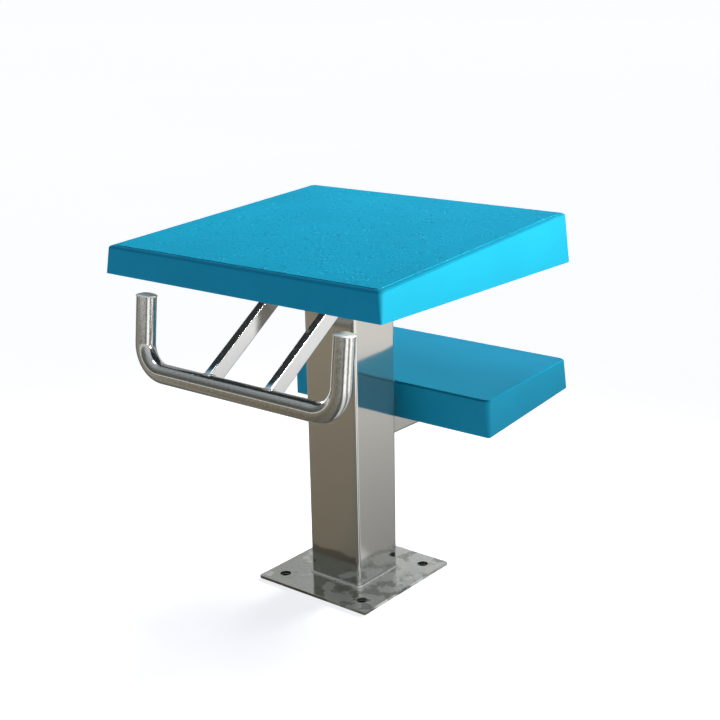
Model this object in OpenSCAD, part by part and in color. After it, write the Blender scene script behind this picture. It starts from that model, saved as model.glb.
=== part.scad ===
// Swimming starting block: a steel post on a floor plate carries a sloping platform in front,
// a low step behind and a U-shaped backstroke grip under the platform's front edge.
// The frame is +Z up, +X across the lane and -Y towards the pool.
// The origin is the centre of the floor plate's underside, on the post's axis.

/* [Floor plate] */
// Side of the square floor plate
base_w = 220; // [190:1:300]
// Thickness of the floor plate
base_t = 5; // [4:0.5:12]
// Radius of the floor plate's corners
base_corner_r = 3; // [1:0.5:12]
// Distance between neighbouring anchor holes, along both sides
anchor_pitch = 160; // [140:1:190]
// Diameter of an anchor hole
anchor_hole_d = 17.5; // [9:0.5:22]

/* [Post] */
// Outer width of the square post
post_w = 100; // [80:1:110]
// Length of the post
post_h = 507; // [470:1:700]
// Wall thickness of the post
post_wall = 2.5; // [1.5:0.5:5]
// Outer corner radius of the post
post_corner_r = 6; // [4:0.5:12]
// Leg of the weld beads at the post's two ends
post_weld_leg = 4; // [2:0.5:8]

/* [Head plate] */
// Thickness of the plate on top of the post
head_t = 6; // [4:0.5:10]
// Distance from a bolt hole's centre to the edge of the head plate
head_edge = 20; // [14:1:35]

/* [Platform] */
// Width of the platform at its rim
plat_w = 520; // [450:1:650]
// Depth of the platform at its rim, front to back
plat_d = 470; // [420:1:600]
// Distance from the post's axis forward to the platform's rim
plat_front = 250; // [220:1:300]
// Height of the platform at its front edge
plat_front_h = 42; // [38:1:60]
// Height of the platform at its back edge
plat_back_h = 78; // [60:1:110]
// Draft of the platform's skirts, in degrees
plat_draft = 3.5; // [1:0.5:6]
// Radius of the platform's upright corners at the rim
plat_corner_r = 8; // [8:0.5:25]
// Radius of the platform's top edges
plat_edge_r = 8; // [8:0.5:18]
// Wall of the platform's moulding
plat_wall = 5; // [3:0.5:7]
// Thickness of the panel that closes the platform's underside
plat_panel_t = 5; // [3:0.5:8]
// Width of a platform bearer
plat_bearer_w = 45; // [35:1:60]
// Distance between the platform's bolts across the lane
plat_bolt_x = 260; // [190:1:320]
// Distance between the platform's bolts along the lane
plat_bolt_y = 200; // [160:1:230]
// Distance from the post's axis to the centre of each cross bearer
cross_y = 150; // [140:1:170]

/* [Step] */
// Width of the step
step_w = 400; // [300:1:500]
// Depth of the step along its slope
step_d = 240; // [220:1:320]
// Height of the step's moulding at the post's side
step_near_h = 62; // [56:1:80]
// Height of the step's moulding at its free side
step_far_h = 53; // [51:1:80]
// Draft of the step's skirts, in degrees
step_draft = 1; // [0.5:0.5:4]
// Radius of the step's upright corners
step_corner_r = 7; // [7:0.5:20]
// Radius of the step's top edges
step_edge_r = 7; // [7:0.5:14]
// Wall of the step's moulding
step_wall = 5; // [3:0.5:6]
// Thickness of the panel in the step's underside
step_panel_t = 5; // [3:0.5:7]
// Gap between the back of the post and the step's rim
step_gap = 43; // [30:1:80]
// Height of the step's near rim above the floor
step_z = 247; // [200:1:320]
// Rise of the step away from the post, in degrees
step_tilt = 5.3; // [0:0.1:8]
// Width of a step bearer
step_bearer_w = 36; // [28:1:44]
// Distance between the step's bolts, along both directions
step_bolt_pitch = 110; // [104:1:130]

/* [Step arm] */
// Outer side of the square tube that carries the step
arm_w = 40; // [34:1:44]
// Wall of the arm's tube
arm_wall = 2; // [1.5:0.5:4]
// Outer corner radius of the arm's tube
arm_corner_r = 3; // [2.5:0.5:6]
// Depth of the arm's underside below the step's rim
arm_drop = 23; // [18:1:28]
// Reach of the arm from the step's near rim
arm_reach = 205; // [190:1:215]
// Leg of the weld bead where the arm meets the post
arm_weld_leg = 3; // [2:0.5:5]
// Thickness of the step's mounting plate
step_plate_t = 5; // [3:0.5:7]
// Distance from a bolt hole's centre to the edge of the mounting plate
step_plate_edge = 20; // [14:1:25]

/* [Backstroke grip] */
// Outer diameter of the grip's tube
grip_d = 30; // [25:0.5:38]
// Wall of the grip's tube
grip_wall = 1.5; // [1:0.5:3]
// Distance between the axes of the two uprights
grip_w = 377; // [300:1:460]
// Centreline radius of the grip's bends
grip_bend_r = 42; // [32:1:75]
// Depth of the bar's axis below the platform's rim
grip_drop = 137; // [125:1:200]
// Length of an upright from the bar's axis to the end of its tube
grip_h = 110; // [95:1:118]
// Backward lean of the uprights, in degrees
grip_lean = 6.8; // [0:0.1:12]
// Thickness of the rim of an end cap
cap_rim = 2; // [1:0.5:3]
// How far a cap's rim stands out past the tube
cap_lip = 0.8; // [0:0.1:2]
// Rise of an end cap's dome
cap_dome = 3.5; // [1:0.5:5]
// Length of an end cap inside the tube
cap_plug = 12; // [6:1:25]

/* [Struts] */
// Width of a strut across the lane
strut_w = 13; // [10:1:16]
// Height of a strut's section
strut_h = 26; // [20:1:28]
// Wall of a strut
strut_wall = 1.5; // [1:0.5:3]
// Outer corner radius of a strut
strut_corner_r = 2; // [1.6:0.2:4]
// Distance between the middles of the two struts
strut_pitch = 117; // [115:1:140]
// Rise of the struts from the bar to the head plate, in degrees
strut_rise = 34.7; // [32:0.1:44]

/* [Fasteners] */
// Thread diameter of the platform's bolts
plat_bolt_d = 10; // [8:1:12]
// Length of the platform's bolts under the head
plat_bolt_len = 30; // [26:1:32]
// Length of the platform's inserts
plat_insert_len = 18; // [16:1:20]
// Thread diameter of the step's bolts
step_bolt_d = 8; // [6:1:9]
// Length of the step's bolts under the head
step_bolt_len = 25; // [22:1:27]
// Length of the step's inserts
step_insert_len = 15; // [14:1:16]
// Shank diameter of the panel screws
screw_d = 4; // [3:0.5:5]
// Length of the panel screws with their heads
screw_len = 18; // [12:1:20]
// Distance from the end of a bearer to its nearest panel screw
screw_inset = 22; // [12:1:30]

/* [Fits] */
// Play of a bolt in a plain hole, on the diameter
bolt_play = 1; // [0.5:0.1:2]
// Play of a thread in its insert, on the diameter
thread_play = 0.2; // [0.1:0.05:0.4]
// Gap between pieces that are slid together or bonded
seat_gap = 0.3; // [0.1:0.05:0.5]
// Gap between a panel and the skirts round it
panel_gap = 1; // [0.5:0.1:3]
// Gap between the end of a bearer and the skirt
bearer_gap = 12; // [8:1:20]

/* [Hidden] */
$fn = 64;

STEEL = [0.72, 0.73, 0.72];
BRIGHT = [0.86, 0.87, 0.88];
BLUE = [0.16, 0.62, 0.78];
PANEL = [0.13, 0.40, 0.55];
BEARER = [0.72, 0.58, 0.40];
BRASS = [0.78, 0.64, 0.32];
BLACK = [0.12, 0.12, 0.13];

LEFT = -1;
RIGHT = 1;
SIDES = [LEFT, RIGHT];
// Facets of the rounded edges of the two mouldings
edge_fn = 32;
// Overrun of a cut past the face that it opens
over = 1;
// Least radius of a tube's inner corner
least_r = 0.4;
// Height of the upright land at a moulding's rim
rim_land = 1;
rim_z = base_t + post_h;
post_half = post_w / 2;

// Platform, measured from its rim upwards and from its front edge backwards
plat_panel_z = head_t;
plat_bearer_z = plat_panel_z + plat_panel_t;
plat_form = [plat_w, plat_d, plat_front_h, plat_back_h, plat_draft, plat_corner_r, plat_edge_r,
             plat_wall];
plat_bearer_x = plat_bolt_x / 2;
head_w = plat_bolt_x + 2 * head_edge;
head_d = plat_bolt_y + 2 * head_edge;

// Step, measured from its rim upwards and from its near edge outwards
step_plate_z = arm_w - arm_drop;
step_panel_z = step_plate_z + step_plate_t;
step_bearer_z = step_panel_z + step_panel_t;
step_form = [step_w, step_d, step_near_h, step_far_h, step_draft, step_corner_r, step_edge_r,
             step_wall];
step_bearer_x = step_bolt_pitch / 2;
step_mid = step_d / 2;
step_plate_w = step_bolt_pitch + 2 * step_plate_edge;
// The arm's tube reaches the post's axis before its end is cut
arm_len = arm_reach + (step_gap + post_half) / cos(step_tilt);

// Grip and struts
grip_r = grip_d / 2;
grip_z = rim_z - grip_drop;
grip_x = grip_w / 2;
// A strut's tube before its upper end is cut
strut_len = 2 * grip_drop / sin(strut_rise);

// Proportions of standard fasteners, as multiples of the thread's diameter
function head_across(d) = 1.65 * d;
function head_height(d) = 0.64 * d;
function washer_od(d) = 2 * d;
function washer_t(d) = 0.2 * d;
function spring_od(d) = 1.75 * d;
function spring_t(d) = 0.24 * d;
function insert_od(d) = 1.55 * d;
function stack_t(d) = washer_t(d) + spring_t(d);
screw_head_d = 2 * screw_d;
screw_head_h = screw_d / 2;

// Heights above the bearers' undersides that the bolts' tips reach
plat_bolt_reach = plat_bolt_len - stack_t(plat_bolt_d) - head_t - plat_panel_t;
step_bolt_reach = step_bolt_len - stack_t(step_bolt_d) - step_plate_t - step_panel_t;

// Sizes of a moulding, read from its form
function wide_of(form) = form[0];
function deep_of(form) = form[1];
function front_h_of(form) = form[2];
function back_h_of(form) = form[3];
function draft_of(form) = form[4];
function corner_r_of(form) = form[5];
function edge_r_of(form) = form[6];
function wall_of(form) = form[7];

// Height of a moulding's outer top above its rim, at the distance y from its front edge
function top_at(form, y) = front_h_of(form) + (back_h_of(form) - front_h_of(form)) * y / deep_of(form);
function slope_of(form) = atan((back_h_of(form) - front_h_of(form)) / deep_of(form));
// Height of the skin's underside
function skin_at(form, y) = top_at(form, y) - wall_of(form) / cos(slope_of(form));
// Distance of a skirt's inner face from the rim's edge, at the height z
function skirt_in(form, z) = wall_of(form) / cos(draft_of(form)) + z * tan(draft_of(form));

// Round bar with an optional bore, standing on z = 0
module ring(od, id, t) {
    difference() {
        cylinder(d = od, h = t);
        translate([0, 0, -over]) cylinder(d = id, h = t + 2 * over);
    }
}

// Flat outline with round corners, centred
module rounded_outline(w, d, r) {
    square([w - 2 * r, d], center = true);
    square([w, d - 2 * r], center = true);
    for (x = SIDES, y = SIDES)
        translate([x * (w / 2 - r), y * (d / 2 - r)]) circle(r = r);
}

module rounded_plate(w, d, t, r) {
    linear_extrude(height = t) rounded_outline(w, d, r);
}

// Rectangular tube along +Z with rounded corners
module box_tube(w, d, wall, r, len) {
    bore_r = max(r - wall, least_r);
    difference() {
        rounded_plate(w, d, len, r);
        translate([0, 0, -over])
            rounded_plate(w - 2 * wall, d - 2 * wall, len + 2 * over, bore_r);
    }
}

// Weld bead of triangular section round a rectangle with rounded corners, rising from z = 0
module bead(w, d, r, leg) {
    section = [[0, 0], [leg, 0], [0, leg]];
    half_x = w / 2 - r;
    half_y = d / 2 - r;
    for (x = [0, 1], y = [0, 1]) mirror([x, 0, 0]) mirror([0, y, 0]) {
        translate([w / 2, half_y, 0]) rotate([90, 0, 0])
            linear_extrude(height = half_y) polygon(section);
        translate([0, d / 2, 0]) rotate([90, 0, 90])
            linear_extrude(height = half_x) polygon(section);
        translate([half_x, half_y, 0]) rotate_extrude(angle = 90)
            translate([r, 0]) polygon(section);
    }
}

// Closed block with drafted sides and a sloping top, its rim on z = 0 and its front edge on y = 0.
// The inside of a moulding is the same block, smaller by the wall all round.
module block(form, inset = 0, under = 0) {
    draft = draft_of(form);
    slope = slope_of(form);
    corner_r = corner_r_of(form) - inset;
    edge_r = edge_r_of(form) - inset;
    side = inset / cos(draft);
    lift = (inset + edge_r) / cos(slope);
    reach = (inset + edge_r) / cos(draft);
    front_z = (front_h_of(form) + tan(slope) * reach - lift) / (1 - tan(slope) * tan(draft));
    back_z = (back_h_of(form) - tan(slope) * reach - lift) / (1 + tan(slope) * tan(draft));
    front_in = front_z * tan(draft) + reach;
    back_in = back_z * tan(draft) + reach;
    rim_in = side + corner_r;
    hull() for (x = SIDES) {
        for (y = [rim_in, deep_of(form) - rim_in])
            translate([x * (wide_of(form) / 2 - rim_in), y, -under])
                cylinder(r = corner_r, h = under + rim_land, $fn = edge_fn);
        translate([x * (wide_of(form) / 2 - front_in), front_in, front_z])
            sphere(r = edge_r, $fn = edge_fn);
        translate([x * (wide_of(form) / 2 - back_in), deep_of(form) - back_in, back_z])
            sphere(r = edge_r, $fn = edge_fn);
    }
}

module moulding(form) {
    difference() {
        block(form);
        block(form, inset = wall_of(form), under = over);
    }
}

// Panel that fills the inside of a moulding at the height z
module inner_panel(form, z, t) {
    edge_in = skirt_in(form, z + t) + panel_gap;
    panel_r = corner_r_of(form) - wall_of(form);
    translate([0, deep_of(form) / 2, z])
        rounded_plate(wide_of(form) - 2 * edge_in, deep_of(form) - 2 * edge_in, t, panel_r);
}

// Wedge from the panel up to the skin, from y1 to y2, with its middle at x
module bearer(form, z, x, w, y1, y2) {
    side = [[y1, z], [y2, z], [y2, skin_at(form, y2) - seat_gap], [y1, skin_at(form, y1) - seat_gap]];
    translate([x - w / 2, 0, 0]) rotate([90, 0, 90]) linear_extrude(height = w) polygon(side);
}

function bearer_start(form) = skirt_in(form, front_h_of(form)) + bearer_gap;
function bearer_end(form) = deep_of(form) - skirt_in(form, back_h_of(form)) - bearer_gap;

module insert(d, len) {
    ring(insert_od(d), d + thread_play, len);
}

// Plain hole for a bolt, through a plate that stands on z = 0
module bolt_hole(d, t) {
    translate([0, 0, -over]) cylinder(d = d + bolt_play, h = t + 2 * over);
}

// Hole for an insert, open at the bottom
module insert_hole(d, len) {
    translate([0, 0, -over]) cylinder(d = insert_od(d) + seat_gap, h = len + over + seat_gap);
}

// Hexagon bolt that points up, with its bearing face on z = 0
module hex_bolt(d, len) {
    head_h = head_height(d);
    across = head_across(d);
    cylinder(d = d, h = len);
    translate([0, 0, -head_h]) intersection() {
        cylinder(d = across / cos(30), h = head_h, $fn = 6);
        cylinder(d1 = across, d2 = across + 4 * head_h, h = head_h);
    }
}

// Spring washer: a ring with a slanting cut
module spring_washer(d) {
    t = spring_t(d);
    cut = d / 6;
    difference() {
        ring(spring_od(d), d + bolt_play / 2, t);
        translate([0, -cut / 2, t / 2]) rotate([35, 0, 0]) translate([0, -cut / 2, -t * 2])
            cube([d * 2, cut, t * 4]);
    }
}

// Countersunk screw that points up, with its flat head on z = 0
module panel_screw() {
    cylinder(d1 = screw_head_d, d2 = screw_d, h = screw_head_h);
    cylinder(d = screw_d, h = screw_len);
}

// Hole for a panel screw through the panel and into the bearer
module screw_hole() {
    wide = screw_head_d + seat_gap;
    translate([0, 0, -over]) cylinder(d = wide, h = over);
    cylinder(d1 = wide, d2 = screw_d + seat_gap, h = screw_head_h);
    cylinder(d = screw_d + seat_gap, h = screw_len + seat_gap);
}

// Places of the platform's and the step's parts
module at_platform() {
    translate([0, -plat_front, rim_z]) children();
}

module at_step() {
    translate([0, post_half + step_gap, step_z]) rotate([step_tilt, 0, 0]) children();
}

module at_plat_bolts(z) {
    for (x = SIDES, y = SIDES)
        translate([x * plat_bolt_x / 2, plat_front + y * plat_bolt_y / 2, z]) children();
}

module at_step_bolts(z) {
    for (x = SIDES, y = SIDES)
        translate([x * step_bolt_pitch / 2, step_mid + y * step_bolt_pitch / 2, z]) children();
}

module at_plat_screws(z) {
    for (y = [bearer_start(plat_form) + screw_inset, bearer_end(plat_form) - screw_inset], x = SIDES)
        translate([x * plat_bearer_x, y, z]) children();
    for (y = [-1, 1]) translate([0, plat_front + y * cross_y, z]) children();
}

module at_step_screws(z) {
    for (y = [bearer_start(step_form) + screw_inset, bearer_end(step_form) - screw_inset], x = SIDES)
        translate([x * step_bearer_x, y, z]) children();
}

// Floor plate and post
module base_plate() {
    color(STEEL) difference() {
        rounded_plate(base_w, base_w, base_t, base_corner_r);
        for (x = SIDES, y = SIDES)
            translate([x * anchor_pitch / 2, y * anchor_pitch / 2, -over])
                cylinder(d = anchor_hole_d, h = base_t + 2 * over);
    }
}

module foot_weld() {
    color(STEEL) translate([0, 0, base_t]) bead(post_w, post_w, post_corner_r, post_weld_leg);
}

module post() {
    color(BRIGHT) translate([0, 0, base_t]) box_tube(post_w, post_w, post_wall, post_corner_r, post_h);
}

// The bead under the head plate is interrupted where the struts pass the post
module head_weld() {
    color(STEEL) difference() {
        translate([0, 0, rim_z]) mirror([0, 0, 1])
            bead(post_w, post_w, post_corner_r, post_weld_leg);
        for (side = SIDES) at_strut(side)
            rounded_plate(strut_w + 2 * seat_gap, strut_h + 2 * seat_gap, strut_len, strut_corner_r);
    }
}

module head_plate() {
    color(STEEL) translate([0, 0, rim_z]) difference() {
        rounded_plate(head_w, head_d, head_t, base_corner_r);
        for (x = SIDES, y = SIDES) translate([x * plat_bolt_x / 2, y * plat_bolt_y / 2, 0])
            bolt_hole(plat_bolt_d, head_t);
    }
}

// Platform
module platform_shell() {
    color(BLUE) at_platform() moulding(plat_form);
}

module platform_panel() {
    color(PANEL) at_platform() difference() {
        inner_panel(plat_form, plat_panel_z, plat_panel_t);
        at_plat_bolts(plat_panel_z) bolt_hole(plat_bolt_d, plat_panel_t);
        at_plat_screws(plat_panel_z) screw_hole();
    }
}

module platform_bearer(side) {
    color(BEARER) at_platform() difference() {
        bearer(plat_form, plat_bearer_z, side * plat_bearer_x, plat_bearer_w,
               bearer_start(plat_form), bearer_end(plat_form));
        at_plat_bolts(plat_bearer_z) insert_hole(plat_bolt_d, max(plat_insert_len, plat_bolt_reach));
        at_plat_screws(plat_panel_z) screw_hole();
    }
}

module platform_bearer_left() {
    platform_bearer(LEFT);
}

module platform_bearer_right() {
    platform_bearer(RIGHT);
}

// Cross bearer between the two long ones; place is -1 at the front and 1 at the rear
module cross_bearer(place) {
    y = plat_front + place * cross_y;
    color(BEARER) at_platform() difference() {
        bearer(plat_form, plat_bearer_z, 0, 2 * plat_bearer_x - plat_bearer_w,
               y - plat_bearer_w / 2, y + plat_bearer_w / 2);
        at_plat_screws(plat_panel_z) screw_hole();
    }
}

module platform_bearer_front() {
    cross_bearer(-1);
}

module platform_bearer_rear() {
    cross_bearer(1);
}

module platform_inserts() {
    color(BRASS) at_platform() at_plat_bolts(plat_bearer_z) insert(plat_bolt_d, plat_insert_len);
}

module platform_bolts() {
    color(BRIGHT) at_platform() at_plat_bolts(-stack_t(plat_bolt_d)) hex_bolt(plat_bolt_d, plat_bolt_len);
}

module platform_flat_washers() {
    color(BRIGHT) at_platform() at_plat_bolts(-washer_t(plat_bolt_d))
        ring(washer_od(plat_bolt_d), plat_bolt_d + bolt_play / 2, washer_t(plat_bolt_d));
}

module platform_spring_washers() {
    color(STEEL) at_platform() at_plat_bolts(-stack_t(plat_bolt_d)) spring_washer(plat_bolt_d);
}

module platform_panel_screws() {
    color(BRIGHT) at_platform() at_plat_screws(plat_panel_z) panel_screw();
}

// Line of the arm that carries the step, from its free end to the post's axis
module at_arm() {
    at_step() translate([0, arm_reach, arm_w / 2 - arm_drop]) rotate([90, 0, 0]) children();
}

module step_arm() {
    color(STEEL) difference() {
        at_arm() box_tube(arm_w, arm_w, arm_wall, arm_corner_r, arm_len);
        translate([-arm_w, -post_half, 0]) cube([2 * arm_w, post_w, rim_z]);
    }
}

module step_arm_weld() {
    foot_z = step_z - tan(step_tilt) * step_gap + (arm_w / 2 - arm_drop) / cos(step_tilt);
    color(STEEL) difference() {
        translate([0, post_half, foot_z]) rotate([-90, 0, 0])
            bead(arm_w, arm_w / cos(step_tilt), arm_corner_r, arm_weld_leg);
        at_arm() rounded_plate(arm_w + seat_gap, arm_w + seat_gap, arm_len, arm_corner_r);
    }
}

module step_arm_cap() {
    plug = arm_w - 2 * arm_wall - 2 * seat_gap;
    color(BLACK) at_arm() {
        translate([0, 0, -cap_rim]) rounded_plate(arm_w, arm_w, cap_rim, arm_corner_r);
        rounded_plate(plug, plug, cap_plug, max(arm_corner_r - arm_wall, least_r));
    }
}

module step_mount_plate() {
    color(STEEL) at_step() difference() {
        translate([0, step_mid, step_plate_z])
            rounded_plate(step_plate_w, step_plate_w, step_plate_t, base_corner_r);
        at_step_bolts(step_plate_z) bolt_hole(step_bolt_d, step_plate_t);
    }
}

// Step; its near skirt is notched for the arm
module step_shell() {
    notch_w = arm_w + 2 * seat_gap;
    notch_h = step_plate_z + seat_gap;
    color(BLUE) at_step() difference() {
        moulding(step_form);
        translate([-notch_w / 2, -over, -over]) cube([notch_w, step_wall * 2, notch_h + over]);
    }
}

module step_panel() {
    color(PANEL) at_step() difference() {
        inner_panel(step_form, step_panel_z, step_panel_t);
        at_step_bolts(step_panel_z) bolt_hole(step_bolt_d, step_panel_t);
        at_step_screws(step_panel_z) screw_hole();
    }
}

module step_bearer(side) {
    color(BEARER) at_step() difference() {
        bearer(step_form, step_bearer_z, side * step_bearer_x, step_bearer_w,
               bearer_start(step_form), bearer_end(step_form));
        at_step_bolts(step_bearer_z) insert_hole(step_bolt_d, max(step_insert_len, step_bolt_reach));
        at_step_screws(step_panel_z) screw_hole();
    }
}

module step_bearer_left() {
    step_bearer(LEFT);
}

module step_bearer_right() {
    step_bearer(RIGHT);
}

module step_inserts() {
    color(BRASS) at_step() at_step_bolts(step_bearer_z) insert(step_bolt_d, step_insert_len);
}

module step_bolts() {
    color(BRIGHT) at_step() at_step_bolts(step_plate_z - stack_t(step_bolt_d))
        hex_bolt(step_bolt_d, step_bolt_len);
}

module step_flat_washers() {
    color(BRIGHT) at_step() at_step_bolts(step_plate_z - washer_t(step_bolt_d))
        ring(washer_od(step_bolt_d), step_bolt_d + bolt_play / 2, washer_t(step_bolt_d));
}

module step_spring_washers() {
    color(STEEL) at_step() at_step_bolts(step_plate_z - stack_t(step_bolt_d)) spring_washer(step_bolt_d);
}

module step_panel_screws() {
    color(BRIGHT) at_step() at_step_screws(step_panel_z) panel_screw();
}

// Backstroke grip: a U in one plane that leans back about the bar's axis
module at_grip() {
    translate([0, -plat_front, grip_z]) rotate([-grip_lean, 0, 0]) children();
}

module u_bar(r, extra = 0) {
    straight = grip_x - grip_bend_r;
    translate([-straight, 0, 0]) rotate([0, 90, 0]) cylinder(r = r, h = 2 * straight);
    for (side = [0, 1]) mirror([side, 0, 0]) {
        translate([straight, 0, grip_bend_r]) rotate([90, 0, 0]) rotate([0, 0, -90])
            rotate_extrude(angle = 90) translate([grip_bend_r, 0]) circle(r = r);
        translate([grip_x, 0, grip_bend_r]) cylinder(r = r, h = grip_h - grip_bend_r + extra);
    }
}

module handle_tube() {
    color(BRIGHT) at_grip() difference() {
        u_bar(grip_r);
        u_bar(grip_r - grip_wall, over);
    }
}

module handle_cap(side) {
    rim_r = grip_r + cap_lip;
    dome_r = (rim_r * rim_r + cap_dome * cap_dome) / (2 * cap_dome);
    color(STEEL) at_grip() translate([side * grip_x, 0, grip_h]) {
        translate([0, 0, -cap_plug]) cylinder(r = grip_r - grip_wall - seat_gap, h = cap_plug);
        intersection() {
            cylinder(r = rim_r, h = cap_rim + cap_dome);
            translate([0, 0, cap_rim + cap_dome - dome_r]) sphere(r = dome_r);
        }
    }
}

module handle_cap_left() {
    handle_cap(LEFT);
}

module handle_cap_right() {
    handle_cap(RIGHT);
}

// Line of a strut, from the bar's axis to beyond the head plate
module at_strut(side) {
    translate([side * strut_pitch / 2, -plat_front, grip_z]) rotate([strut_rise - 90, 0, 0]) children();
}

// Strut from the bar up to the head plate; both ends are cut to what they meet
module strut(side) {
    color(BRIGHT) difference() {
        at_strut(side) box_tube(strut_w, strut_h, strut_wall, strut_corner_r, strut_len);
        translate([0, -plat_front, grip_z]) rotate([0, 90, 0])
            cylinder(r = grip_r + seat_gap / 2, h = grip_w, center = true);
        translate([-plat_w / 2, -plat_front, rim_z]) cube([plat_w, plat_d, 2 * grip_drop]);
    }
}

module strut_left() {
    strut(LEFT);
}

module strut_right() {
    strut(RIGHT);
}

base_plate();
foot_weld();
post();
head_weld();
head_plate();
platform_shell();
platform_panel();
platform_bearer_left();
platform_bearer_right();
platform_bearer_front();
platform_bearer_rear();
platform_inserts();
platform_bolts();
platform_flat_washers();
platform_spring_washers();
platform_panel_screws();
step_arm();
step_arm_weld();
step_arm_cap();
step_mount_plate();
step_shell();
step_panel();
step_bearer_left();
step_bearer_right();
step_inserts();
step_bolts();
step_flat_washers();
step_spring_washers();
step_panel_screws();
handle_tube();
handle_cap_left();
handle_cap_right();
strut_left();
strut_right();
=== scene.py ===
# %% [markdown]
# This lesson dresses a swimming starting block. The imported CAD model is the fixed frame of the
# scene: every steel and plastic piece has its place there. The camera comes first, then the
# studio, then one piece after another from the floor upwards, each with its own finish.

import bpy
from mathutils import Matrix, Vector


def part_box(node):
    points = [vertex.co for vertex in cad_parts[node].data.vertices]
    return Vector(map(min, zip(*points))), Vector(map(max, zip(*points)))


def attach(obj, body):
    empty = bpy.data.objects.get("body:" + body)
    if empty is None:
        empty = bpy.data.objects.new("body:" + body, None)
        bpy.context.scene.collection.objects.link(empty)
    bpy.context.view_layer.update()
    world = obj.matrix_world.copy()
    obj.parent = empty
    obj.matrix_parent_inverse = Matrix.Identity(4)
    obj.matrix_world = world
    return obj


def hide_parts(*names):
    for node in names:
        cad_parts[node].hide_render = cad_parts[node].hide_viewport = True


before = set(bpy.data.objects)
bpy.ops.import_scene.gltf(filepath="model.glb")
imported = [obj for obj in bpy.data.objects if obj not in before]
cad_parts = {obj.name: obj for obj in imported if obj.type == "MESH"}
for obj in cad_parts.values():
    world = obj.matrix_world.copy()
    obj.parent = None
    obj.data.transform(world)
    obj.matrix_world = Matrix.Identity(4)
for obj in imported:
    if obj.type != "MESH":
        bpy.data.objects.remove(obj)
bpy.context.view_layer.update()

# %% [markdown]
# The block is measured in millimetres and Blender works in metres, so sizes are written as a
# number times MM. Left and right, and front and rear, are the two SIDES of an axis. Points that
# are closer than CLOSE are one point, and a length below HAIR counts as nothing.

# %% Names used all through the lesson
from math import atan2, copysign, cos, degrees, hypot, pi, radians, sin, sqrt, tan

import bmesh
import bpy
from mathutils import Matrix, Vector, noise

MM = 0.001
CLOSE, HAIR = 1e-3 * MM, 1e-6 * MM
SIDES = (-1, 1)
LABELS = ("left", "right")
scene = bpy.context.scene

# %% [markdown]
# The photograph looks down a little at the block's front right corner. Its camera was solved
# from the straight edges of the platform, post, floor plate and step, whose sizes are known, so
# the azimuth, elevation, distance and lens are all measured. The block isn't in the picture's
# middle, which a small lens shift takes care of.

# %% Camera
FRAME_PX = 720
VIEW_AZIMUTH, VIEW_ELEVATION, VIEW_ROLL = radians(36.45), radians(17.79), radians(-0.19)
VIEW_DISTANCE = 1.9903
VIEW_TARGET = Vector((0.0658, 0.0936, 0.3013))
FOCAL_PX = 1242.6
AXIS_RIGHT_PX, AXIS_DOWN_PX = 60, 30
SENSOR_MM = 36

lens = bpy.data.cameras.new("photo_camera")
lens.sensor_width = SENSOR_MM
lens.lens = FOCAL_PX / FRAME_PX * SENSOR_MM
lens.shift_x, lens.shift_y = -AXIS_RIGHT_PX / FRAME_PX, AXIS_DOWN_PX / FRAME_PX
camera = bpy.data.objects.new("photo_camera", lens)
scene.collection.objects.link(camera)
turn = (Matrix.Rotation(VIEW_AZIMUTH, 4, "Z") @ Matrix.Rotation(pi / 2 - VIEW_ELEVATION, 4, "X")
        @ Matrix.Rotation(VIEW_ROLL, 4, "Z"))
back = turn.to_3x3() @ Vector((0, 0, 1))
camera.matrix_world = Matrix.Translation(VIEW_TARGET + back * VIEW_DISTANCE) @ turn
scene.camera = camera
print("Camera at", [round(v, 3) for v in camera.matrix_world.translation], "lens", round(lens.lens, 2))

# %% [markdown]
# A finish is a tree of nodes. Building one by hand takes many lines, so this small class holds a
# material's tree and has a short word for each kind of node that the finishes below share. All
# patterns read Object coordinates, so they stay on the piece, whichever way it is seen.

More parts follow.
